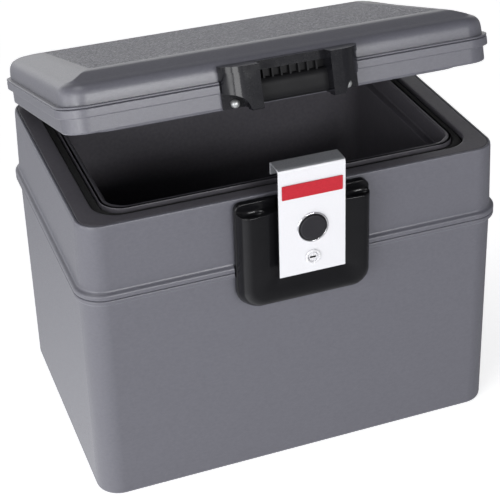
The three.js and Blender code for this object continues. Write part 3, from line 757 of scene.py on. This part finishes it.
def make_housing():
    ridge = make_ridge(HOUSING_SHELF)
    for sign in (-1, 1):
        cut(ridge, scoop_tool(sign, HOUSING_SHELF))
    face = rounded([
        (HOUSING_X, HOUSING_TOP, 7), (-HOUSING_X, HOUSING_TOP, 7),
        (-HOUSING_X, HOUSING_BOTTOM, HOUSING_RADIUS), (HOUSING_X, HOUSING_BOTTOM, HOUSING_RADIUS),
    ], steps=10, closed=True)
    plate = soften(prism("plate", face, HOUSING_PLATE_FRONT, HOUSING_BACK, "Y"), 1.2, 50)
    join(ridge, plate)
    cut(
        ridge,
        block("tool", -LATCH_POCKET_X, LATCH_POCKET_X, -170, POCKET_LOW_FACE, POCKET_BOTTOM, 300),
        block("tool", -LATCH_POCKET_X, LATCH_POCKET_X, -170, POCKET_HIGH_FACE, POCKET_STEP, 300),
        rod("tool", PIN_HOLE_RADIUS, -44.5, 44.5, PIVOT_Y, PIVOT_Z, "X"),
    )
    return keep(ridge, "chest", "black_gloss_plastic", ["latch_housing"], 38)


make_housing()


# ---- latch plate and what it carries ----
def latch_tools():
    return (
        rod("tool", 13.6, -170, -156, 0, BUTTON_Z, "Y", 96),
        rod("tool", BARREL_RADIUS + GAP, -170, -156, 0, LOCK_Z, "Y", 64),
        rod("tool", PIN_HOLE_RADIUS, -30.5, 30.5, PIVOT_Y, PIVOT_Z, "X"),
    )


def make_plate():
    front, top = PLATE_FRONT, PLATE_TOP
    inner = front + SHEET
    under = top - SHEET
    lip = HOOK_TIP - SHEET
    profile = rounded([
        (front, PLATE_BOTTOM, 0.6), (inner, PLATE_BOTTOM, 0.4), (inner, under, 2), (lip, under, 1),
        (lip, LIP_LOW, 0.6), (HOOK_TIP, LIP_LOW, 0.6), (HOOK_TIP, top, 2.8), (front, top, 3.6),
    ], steps=8, closed=True)
    plate = soften(prism("plate", profile, -PLATE_X, PLATE_X, "X"), 0.4, 60)
    cut(plate, *latch_tools())
    keep(plate, "latch", "latch_white", ["latch_plate"])
    plate.data.materials.append(plate_top_painted_shade)
    # Faces that face up, and the hook's faces behind HOOK_SHADE_Y, get the darker grey: painted shade on the
    # plate's top.
    facing_up = 0.75
    for polygon in plate.data.polygons:
        if polygon.normal.z > facing_up or polygon.center.y > HOOK_SHADE_Y * MM:
            polygon.material_index = 1


def make_latch_body():
    front = PLATE_FRONT + 2.3
    back = front + SHEET
    flange_back = front + LATCH_FLANGE_DEPTH
    lug = [(back - 1, LUG_LOW)] + arc(PIVOT_Y, PIVOT_Z, LUG_RADIUS, -90, 90, 16) + [(back - 1, LUG_HIGH)]
    parts = []
    for sign in (-1, 1):
        flange = sorted((sign * LATCH_BODY_X, sign * LATCH_FLANGE_X))
        parts.append(block("flange", *flange, front, flange_back, LATCH_BODY_LOW, LATCH_FLANGE_TOP))
        parts.append(prism("lug", lug, *sorted((sign * LUG_INNER_X, sign * LUG_OUTER_X)), "X"))
    sheet = block("latch_back", -LATCH_BODY_X, LATCH_BODY_X, front, back, LATCH_BODY_LOW, LATCH_BODY_TOP)
    body = join(sheet, *parts)
    cut(body, *latch_tools())
    keep(soften(body, 0.4, 60, 2), "latch", "black_gloss_plastic", ["latch_body"])


def make_badge():
    corner = 0.9
    outline = rounded([
        (BADGE_X, BADGE_TOP, corner), (-BADGE_X, BADGE_TOP, corner),
        (-BADGE_X, BADGE_LOW, corner), (BADGE_X, BADGE_LOW, corner),
    ], closed=True)
    badge = prism("badge", outline, PLATE_FRONT - 1, PLATE_FRONT - GAP, "Y")
    return keep(soften(badge, 0.3, 50), "latch", "badge_red", ["latch_badge"])


def make_button():
    lip = rounded([
        (13.3, 0.3), (14.3, 0.3, 0.25), (14.3, 1.3, 0.6), (BEZEL_RADIUS, 1.3, 0.5), (BEZEL_RADIUS, -1),
    ])
    rim = [(BEZEL_RADIUS, -6), (13.3, -6)] + lip + [(BEZEL_RADIUS, -6)]
    keep(lathe("bezel", rim, 0, BUTTON_Z, PLATE_FRONT, 96), "latch", "chrome", ["button_bezel"])
    cap = [(0, -8.5), (14, -8.5), (14, -6.4), (CAP_RADIUS, -6.4)]
    cap += rounded([(CAP_RADIUS, -2), (CAP_RADIUS, 2.4, 1.3), (8, 2.6, 8), (0, 2.1)], steps=8)
    keep(lathe("button", cap, 0, BUTTON_Z, PLATE_FRONT, 96), "button", "button_plastic", ["push_button"])


def make_lock():
    bore = PLUG_RADIUS + GAP
    collar = rounded([
        (BARREL_RADIUS, 0.3), (7, 0.3, 0.2), (7, 1.4, 0.7), (5, 1.4, 0.3), (4.8, 0), (bore, -0.6),
    ])
    barrel = [(bore, -12), (BARREL_RADIUS, -12), (BARREL_RADIUS, 0.3)] + collar + [(bore, -12)]
    lock_barrel = lathe("barrel", barrel, 0, LOCK_Z, PLATE_FRONT)
    keep(lock_barrel, "latch", "chrome", ["lock_barrel"], finish=nickel)
    core = [(0, -13), (PLUG_RADIUS, -13), (PLUG_RADIUS, 0.3), (3.7, 0.7), (0, 0.8)]
    plug = lathe("plug", core, 0, LOCK_Z, PLATE_FRONT)
    corner = 0.6
    keyway = rounded([
        (KEYWAY_LEFT, KEYWAY_HALF, corner), (KEYWAY_RIGHT, KEYWAY_HALF, corner),
        (KEYWAY_RIGHT, -KEYWAY_HALF, corner), (KEYWAY_LEFT, -KEYWAY_HALF, corner),
    ], closed=True)
    slot = [(x, LOCK_Z + z) for x, z in keyway]
    cut(plug, prism("tool", slot, PLATE_FRONT - 3, PLATE_FRONT + KEYWAY_DEPTH, "Y"))
    keep(plug, "plug", "chrome", ["lock_plug"], finish=nickel)
    # The keyway's walls, the plug's own metal, are painted near-black: painted shade inside the slot.
    plug.data.materials.append(recess_black_and_keyway_shade)
    reach_x = (GAP - KEYWAY_LEFT) * MM
    reach_z = (GAP + KEYWAY_HALF) * MM
    for polygon in plug.data.polygons:
        x, y, z = polygon.center
        beside = abs(x) < reach_x and abs(z - LOCK_Z * MM) < reach_z
        behind = (PLATE_FRONT - 0.4) * MM < y < (PLATE_FRONT + KEYWAY_DEPTH + 0.5) * MM
        if beside and behind:
            polygon.material_index = 1


make_plate()
make_latch_body()
make_badge()
make_button()
make_lock()


def make_spring():
    """Torsion spring round the latch's pivot pin, as one round wire."""
    half, radius = SPRING_HALF, SPRING_RADIUS
    turns = 5.5
    steps = 160
    points = [(-half, PIVOT_Y + radius, z) for z in (SPRING_END_Z, SPRING_END_Z - 6)]
    for i in range(steps + 1):
        angle = -2 * math.pi * turns * i / steps
        x = -half + 2 * half * i / steps
        points.append((x, PIVOT_Y + radius * math.cos(angle), PIVOT_Z + radius * math.sin(angle)))
    points.append((half, -156.3, SPRING_END_Z))
    curve = bpy.data.curves.new("latch_spring_wire", "CURVE")
    curve.dimensions = "3D"
    curve.bevel_depth = SPRING_WIRE * MM
    curve.bevel_resolution = 3
    curve.use_fill_caps = True
    line = curve.splines.new("POLY")
    line.points.add(len(points) - 1)
    for target, point in zip(line.points, points):
        target.co = (*(Vector(point) * MM), 1)
    temporary = bpy.data.objects.new("wire", curve)
    bpy.context.scene.collection.objects.link(temporary)
    bpy.context.view_layer.update()
    mesh = bpy.data.meshes.new_from_object(temporary.evaluated_get(bpy.context.evaluated_depsgraph_get()))
    bpy.data.objects.remove(temporary)
    spring = bpy.data.objects.new("spring", mesh)
    bpy.context.scene.collection.objects.link(spring)
    return keep(spring, "chest", "steel", ["latch_spring"])


make_spring()


# ---- lid, drawn shut ----
# (inset, height, share of the way up to the panel)
LID_TOP_PROFILE = [
    (0, BAND_HIGH, 0), (0.2, 310, 0), (0.8, 314.4, 0), (2.2, 317.7, 0), (4.9, 320.4, 0),
    (SHOULDER_INSET, SHOULDER_Z, 0), (11.5, SHOULDER_Z, 0.13), (22, SHOULDER_Z, 0.73),
    (26, SHOULDER_Z, 0.9), (30, SHOULDER_Z, 0.98),
    (33, SHOULDER_Z, 1),
]


def band_tools():
    """Blocks that end the seam band at the handle and at the hinges."""
    low, high = BAND_LOW - 1, BAND_HIGH + 0.6
    tools = [block("tool", -HANDLE_X - 0.5, HANDLE_X + 0.5, -150, LID_FRONT, low, high)]
    for sign in (-1, 1):
        x = sign * HINGE_X
        tools.append(block("tool", x - PAD_HALF, x + PAD_HALF, -LID_FRONT, 150, low, high))
    return tools


def make_lid_top():
    profile = smooth_path(LID_TOP_PROFILE)
    inside = [lid_ring(*entry, wall=LID_WALL) for entry in reversed(profile)]
    lip = rounded([
        (LID_WALL, LID_SEAM + 0.15), (-RIB_OUT, LID_SEAM + 0.15, 0.8), (-RIB_OUT, BAND_HIGH, 0.8),
        (0, BAND_HIGH),
    ])
    rings = inside + [lid_ring(inset, z) for inset, z in lip] + [lid_ring(*entry) for entry in profile[1:]]
    top = loft("lid_top", rings)
    cut(top, *band_tools())
    keep(top, "lid", "grey_shell", ["lid_top_shell"])
    top.data.materials.append(grey_stippled)
    panel_area = 0.05
    panel = max(top.data.polygons, key=lambda polygon: (polygon.area > panel_area, polygon.center.z))
    panel.material_index = 1


def make_lid_bottom():
    rings = [slab_ring(140, 88, 14, LID_PAN_ROOF)]
    pan = rounded([
        (140, LID_PAN_ROOF), (LID_PAN_X, LID_PAN_ROOF, 5), (LID_PAN_X, LID_BOTTOM, 2), (158, LID_BOTTOM),
    ])
    for half_x, z in pan:
        rings.append(slab_ring(half_x, half_x - 52, max(18 + half_x - LID_PAN_X, 8), z))
    tongue = rounded([
        (160, LID_BOTTOM), (TONGUE_INNER_X, LID_BOTTOM, 0.8), (TONGUE_INNER_X, TONGUE_LOW, 0.8),
        (TONGUE_OUTER_X, TONGUE_LOW, 0.8), (TONGUE_OUTER_X, LID_BOTTOM, 0.8), (178, LID_BOTTOM),
    ])
    rings += [groove_ring(half_x, z, 19, TONGUE_INNER_X, 0.7) for half_x, z in tongue]
    outside = rounded([
        (8, LID_BOTTOM), (0, LID_BOTTOM, 1.8), (0, BAND_LOW, 0.7), (-RIB_OUT, BAND_LOW, 0.9),
        (-RIB_OUT, LID_SEAM - 0.15, 1.1), (3.5, LID_SEAM - 0.15), (3.5, 284),
    ])
    rings += [lid_ring(inset, z) for inset, z in outside]
    rings += [slab_ring(153, 101, 21, 284), slab_ring(153, 101, 21, 300)]
    bottom = loft("lid_bottom", rings)
    cut(bottom, *band_tools())
    return keep(bottom, "lid", "grey_shell", ["lid_bottom_shell"])


make_lid_top()
make_lid_bottom()


# ---- lid handle ----
WING_PLAN = [
    (LEG_X, HANDLE_CREST), (46, -152.9), (51, -150.4), (55.6, -146.2), (59, -141.2), (60.6, -137.4),
    (SIDE_X, HANDLE_BACK),
]


def mirrored(outline, sign):
    return outline if sign > 0 else [(-a, b) for a, b in reversed(outline)]


def make_wing(sign):
    plan = [(RECESS_X, HANDLE_CREST)] + smooth_path(WING_PLAN, 5) + [(RECESS_X, HANDLE_BACK)]
    wing = prism("wing", mirrored(plan, sign), LID_BOTTOM, BAR_LOW + 0.5, "Z")
    cut(wing, rod("tool", ARCH_RADIUS, -170, BACK_PLATE, sign * ARCH_X, ARCH_Z, "Y", 96))
    cut(wing, block("tool", *sorted((sign * LEG_X, sign * 80)), -170, BACK_PLATE, 270, 281.5))
    foot = rounded([
        (HANDLE_CREST, LID_BOTTOM + 1), (HANDLE_CREST, LEG_BOTTOM, 1.4), (-142, LEG_BOTTOM, 1.4),
        (-142, LID_BOTTOM + 1),
    ], closed=True)
    join(wing, prism("foot", foot, *sorted((sign * RECESS_X, sign * LEG_X)), "X"))
    return wing


def make_strike():
    """Bar across the recess that the latch's hook catches, with a face that bulges forwards."""
    face = []
    steps = 24
    for i in range(steps + 1):
        t = i / steps
        bulge = max(0, 1 - (2 * t - 1) ** 4) ** 0.5
        z = STRIKE_TOP + (STRIKE_LOW - STRIKE_TOP) * t
        face.append((HANDLE_BACK - STRIKE_ROOT - STRIKE_BULGE * bulge, z))
    outline = [(HANDLE_BACK, STRIKE_TOP)] + face + [(HANDLE_BACK, STRIKE_LOW)]
    return prism("strike", outline, -RECESS_X - 0.5, RECESS_X + 0.5, "X")


def make_handle():
    grown = [(x + (0.7 if x > LEG_X + 1 else 0), y - 0.5) for x, y in smooth_path(WING_PLAN, 5)]
    left = mirrored(grown, -1)
    bar_plan = grown + [(SIDE_X, HANDLE_BACK), (-SIDE_X, HANDLE_BACK)] + left
    notch = [(RECESS_X, -160), (-RECESS_X, -160), (-RECESS_X, -MIDDLE_FRONT), (RECESS_X, -MIDDLE_FRONT)]
    bar = prism("handle", bar_plan, BAR_LOW, HANDLE_TOP, "Z")
    cut(bar, prism("tool", notch, BAR_LOW - 5, HANDLE_TOP + 5, "Z"))
    back = block("back", -60.5, 60.5, BACK_PLATE, HANDLE_BACK, LID_BOTTOM + 0.5, HANDLE_TOP - 0.5)
    reach_x = RECESS_X + 1
    middle = block("middle", -reach_x, reach_x, -MIDDLE_FRONT, HANDLE_BACK, MIDDLE_LOW, HANDLE_TOP - 0.4)
    join(bar, make_wing(-1), make_wing(1), back, middle, make_strike())
    pitch = 2 * RECESS_X / (RIB_COUNT + 1)
    for i in range(1, RIB_COUNT + 1):
        x = -RECESS_X + i * pitch
        depth = (RIB_FRONT, HANDLE_BACK - 0.1)
        join(bar, block("rib", x - RIB_HALF, x + RIB_HALF, *depth, RIB_LOW, MIDDLE_LOW + 1))
    soften(bar, 0.7, 40, 2)
    recess_front = -0.1425
    recessed = [
        abs(polygon.center.x) < RECESS_X * MM and polygon.center.y > recess_front
        and polygon.center.z < (MIDDLE_LOW - 0.2) * MM
        for polygon in bar.data.polygons
    ]
    keep(bar, "lid", "black_gloss_plastic", ["lid_handle"], 40, satin_black)
    bar.data.materials.append(recess_black_and_keyway_shade)
    for polygon, inside in zip(bar.data.polygons, recessed):
        polygon.material_index = int(inside)


make_handle()

for side, sign in (("left", -1), ("right", 1)):
    dome = [(0, 0), (3.8, 0)] + rounded([(3.8, 0.2), (3.8, 1.6, 0.5), (3.4, 4.9, 3.2), (0, 4.9)], steps=8)
    rivet = lathe(f"rivet_{side}", dome, sign * RIVET_X, RIVET_Z, BACK_PLATE - GAP, 48)
    keep(rivet, "lid", "steel", [f"handle_rivet_{side}"], finish=bright_steel)


# ---- hinges and their screws ----
def screw_mesh(name, x, y, z):
    head = [(0, 0), (2, 0), (2, 4.8), (3.8, 4.8)] + rounded(
        [(3.8, 5.0), (3.8, 5.8, 0.4), (3.0, 6.9, 1.0), (0, 7)], steps=6)
    screw = lathe(name, [(r, -d) for r, d in head], x, z, y, 48)
    for turn in (0, 1):
        wide, tall = (2.1, 0.45) if turn else (0.45, 2.1)
        cut(screw, block("tool", x - wide, x + wide, y + 5.6, y + 9, z - tall, z + tall))
    return screw


for side, sign in (("left", -1), ("right", 1)):
    for where, direction in (("inner", -sign), ("outer", sign)):
        for holds, body, (beside, y, z) in (("bracket", "chest", BRACKET_SCREW), ("arm", "lid", ARM_SCREW)):
            node_name = f"{holds}_screw_{side}_{where}"
            screw = screw_mesh(f"{node_name}_head", sign * HINGE_X + direction * beside, y, z)
            keep(screw, body, "steel", [node_name])

# ---- CAD nodes that stay, with softened edges and finished materials ----
slot_of = {row["node"]: row["material_slot"] for row in frame["record"]["subparts"]}
SOFT_EDGES = ("hinge_bracket_left", "hinge_bracket_right", "lid_hinge_arm_left", "lid_hinge_arm_right")
for name, node in nodes.items():
    node.data.materials.clear()
    node.data.materials.append(SLOTS[slot_of[name]])
    if name in SOFT_EDGES:
        bevel = node.modifiers.new("soft_edges", "BEVEL")
        bevel.width = 0.5 * MM
        bevel.segments = 2
        bevel.limit_method = "ANGLE"
        bevel.angle_limit = math.radians(40)
        bevel.harden_normals = True

# ---- floor, light and camera ----
floor_mesh = bpy.data.meshes.new("floor")
FLOOR_REACH = 6.0
FLOOR_DROP = 0.0005
corners = [(-1, -1), (1, -1), (1, 1), (-1, 1)]
floor_points = [(x * FLOOR_REACH, y * FLOOR_REACH, -FLOOR_DROP) for x, y in corners]
floor_mesh.from_pydata(floor_points, [], [(0, 1, 2, 3)])
floor = bpy.data.objects.new("studio_floor", floor_mesh)
bpy.context.scene.collection.objects.link(floor)
paper = new_material(
    "studio_paper", (0.9, 0.9, 0.905), 0.95, Emission_Color=(1, 1, 1, 1), Emission_Strength=0.6,
)
floor_mesh.materials.append(paper)
floor.visible_glossy = False
floor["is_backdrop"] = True

world = bpy.data.worlds.new("studio")
bpy.context.scene.world = world
world.use_nodes = True
sky = world.node_tree
SKY_TINT = (0.96, 0.965, 1)
# (upward component of a direction, grey level)
SKY_LEVELS = (
    (-0.62, 0.82), (-0.49, 0.41), (-0.4, 0.25), (-0.19, 0.36), (-0.11, 0.72), (0.05, 0.62), (0.75, 0.045),
)
# (sideways component of a direction, strength)
SKY_SIDES = ((-0.8, 2.4), (0.5, 0.5))


def sky_range(source, start, end, start_value, end_value):
    """Value that runs between two levels as one component of the direction grows."""
    node = sky.nodes.new("ShaderNodeMapRange")
    node.inputs["From Min"].default_value = start
    node.inputs["From Max"].default_value = end
    node.inputs["To Min"].default_value = start_value
    node.inputs["To Max"].default_value = end_value
    sky.links.new(source, node.inputs["Value"])
    return node.outputs["Result"]


def make_sky():
    """Grey studio sky: the level depends on how far a direction rises, and is higher on the left."""
    direction = sky.nodes.new("ShaderNodeTexCoord")
    parts_of = sky.nodes.new("ShaderNodeSeparateXYZ")
    levels = sky.nodes.new("ShaderNodeValToRGB")
    sky.links.new(direction.outputs["Generated"], parts_of.inputs["Vector"])
    sky.links.new(sky_range(parts_of.outputs["Z"], -1, 1, 0, 1), levels.inputs["Fac"])
    stops = levels.color_ramp.elements
    stops.remove(stops[1])
    for number, (rise, grey_level) in enumerate(SKY_LEVELS):
        place = (rise + 1) / 2
        stop = stops.new(place) if number else stops[0]
        stop.position = place
        stop.color = (*scaled(SKY_TINT, grey_level), 1)
    background = sky.nodes["Background"]
    (left, left_value), (right, right_value) = SKY_SIDES
    sides = sky_range(parts_of.outputs["X"], left, right, left_value, right_value)
    sky.links.new(levels.outputs["Color"], background.inputs["Color"])
    sky.links.new(sides, background.inputs["Strength"])


make_sky()


def softbox(name, place, target, width, height, power):
    data = bpy.data.lights.new(name, "AREA")
    data.shape = "RECTANGLE"
    data.size = width
    data.size_y = height
    data.energy = power
    lamp = bpy.data.objects.new(name, data)
    bpy.context.scene.collection.objects.link(lamp)
    lamp.location = place
    towards = Vector(target) - Vector(place)
    lamp.rotation_euler = towards.to_track_quat("-Z", "Y").to_euler()


softbox("left", (-2.2, -0.2, 0.25), (0, 0, 0.05), 1.4, 0.4, 6)
softbox("front_left", (-1.5, -1.3, 0.7), (0, 0, 0.15), 0.9, 1.0, 14)
softbox("front", (0.35, -2.35, 1.15), (0, 0, 0.35), 1.2, 0.36, 27)
softbox("back", (0.6, 2.6, 0.6), (0, 0, 0.3), 3.4, 1.2, 12)
softbox("top", (-0.7, 0.0, 2.5), (0, 0, 0.2), 1.4, 1.2, 11)

camera_data = bpy.data.cameras.new("camera")
camera_data.sensor_width = 36
camera_data.lens = CAMERA_LENS
camera_data.shift_x, camera_data.shift_y = CAMERA_SHIFT
camera_data.clip_end = 50
camera = bpy.data.objects.new("camera", camera_data)
bpy.context.scene.collection.objects.link(camera)
forward = Vector((math.sin(YAW) * math.cos(PITCH), math.cos(YAW) * math.cos(PITCH), -math.sin(PITCH)))
sideways = forward.cross(Vector((0, 0, 1))).normalized()
upright = sideways.cross(forward)
right = math.cos(ROLL) * sideways + math.sin(ROLL) * upright
above = -math.sin(ROLL) * sideways + math.cos(ROLL) * upright
facing = Matrix((right, above, -forward)).transposed()
camera.matrix_world = Matrix.Translation(Vector(CAMERA_PLACE) * MM) @ facing.to_4x4()
bpy.context.scene.camera = camera
bpy.context.scene.view_settings.view_transform = "Standard"


def as_list(value):
    if isinstance(value, (int, float)):
        return value
    return [as_list(part) for part in value]


{"cad": as_list(cad_size), "visual": as_list(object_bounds())}
